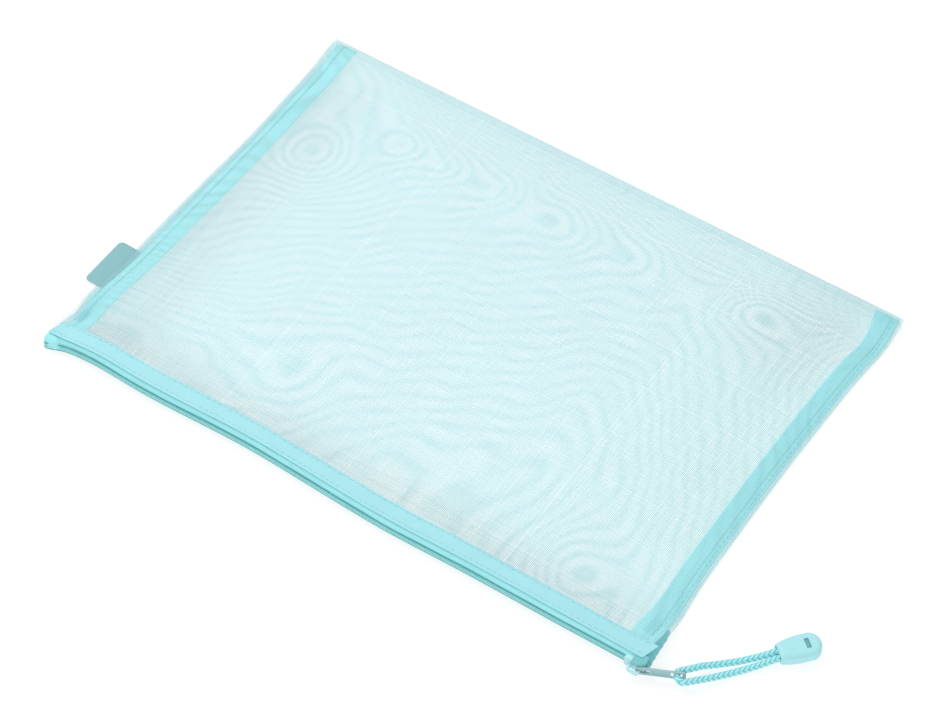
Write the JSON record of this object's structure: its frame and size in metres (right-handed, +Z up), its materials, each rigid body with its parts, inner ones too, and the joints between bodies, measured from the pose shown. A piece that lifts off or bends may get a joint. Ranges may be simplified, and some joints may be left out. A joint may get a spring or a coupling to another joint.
{
  "type": "mesh document wallet",
  "caption": "Flat zipped wallet of see-through nylon mesh for A4 papers, with cloth bindings, a coil zip along its front edge, a side label and a looped cord pull.",
  "frame": {"origin": "middle of the pouch's underside, on the surface that it lies on", "axes": "+X along the zip towards the slider's closed end, +Y from the zip to the fold, +Z up"},
  "size_m": [0.4078, 0.2444, 0.0105],
  "materials": {
    "nylon_mesh": "open gauze, slightly shiny",
    "facing_cloth": "satin",
    "binding_tape": "satin",
    "label_cloth": "matte, bare",
    "zip_tape": "woven",
    "nylon_coil": "satin",
    "slider_metal": "gloss paint",
    "tab_metal": "gloss paint",
    "braided_cord": "braided polyester",
    "moulded_plastic": "fine satin",
    "plug_plastic": "satin",
    "sewing_thread": "polyester thread"
  },
  "bodies": {
    "pouch": {"mesh_lower_panel": "nylon_mesh", "lower_zip_facing": "facing_cloth", "lower_zip_tape": "zip_tape", "lower_zip_teeth": "nylon_coil", "left_side_binding": "binding_tape", "right_side_binding": "binding_tape", "side_label": "label_cloth", "lower_facing_stitches": "sewing_thread", "left_seam_stitches": "sewing_thread", "right_seam_stitches": "sewing_thread"},
    "upper_half": {"mesh_upper_panel": "nylon_mesh", "upper_zip_facing": "facing_cloth", "upper_zip_tape": "zip_tape", "upper_zip_teeth": "nylon_coil", "upper_facing_stitches": "sewing_thread", "corner_bar_tacks": "sewing_thread"},
    "slider": {"slider_body": "slider_metal"},
    "pull": {"pull_tab": "tab_metal"},
    "cord": {"pull_cord": "braided_cord", "cord_end_shell": "moulded_plastic", "cord_end_plug": "plug_plastic"}
  },
  "joints": [
    {"name": "zip_slide", "type": "slide", "parent": "pouch", "child": "slider", "axis": [1, 0, 0], "range_m": [-0.313, 0], "deforming": ["upper_zip_teeth", "lower_zip_teeth", "upper_zip_tape", "lower_zip_tape"]},
    {"name": "mouth_open", "type": "hinge", "parent": "pouch", "child": "upper_half", "pos_m": [0, 0.117, 0.003], "axis": [-1, 0, 0], "range_deg": [0, 14]},
    {"name": "pull_tab_swing", "type": "hinge", "parent": "slider", "child": "pull", "pos_m": [0.1678, -0.122, 0.00465], "axis": [0, 0, 1], "range_deg": [-205.5, 0]},
    {"name": "cord_swing", "type": "hinge", "parent": "pull", "child": "cord", "pos_m": [0.18698, -0.11285, 0.00465], "axis": [0, 0, 1], "range_deg": [-60, 30], "deforming": ["pull_cord"]}
  ],
  "couplings": [
    {"joint": "mouth_open", "follows": "zip_slide", "rad_per_m": -0.7805},
    {"joint": "pull_tab_swing", "follows": "zip_slide", "rad_per_m": 11.459}
  ]
}
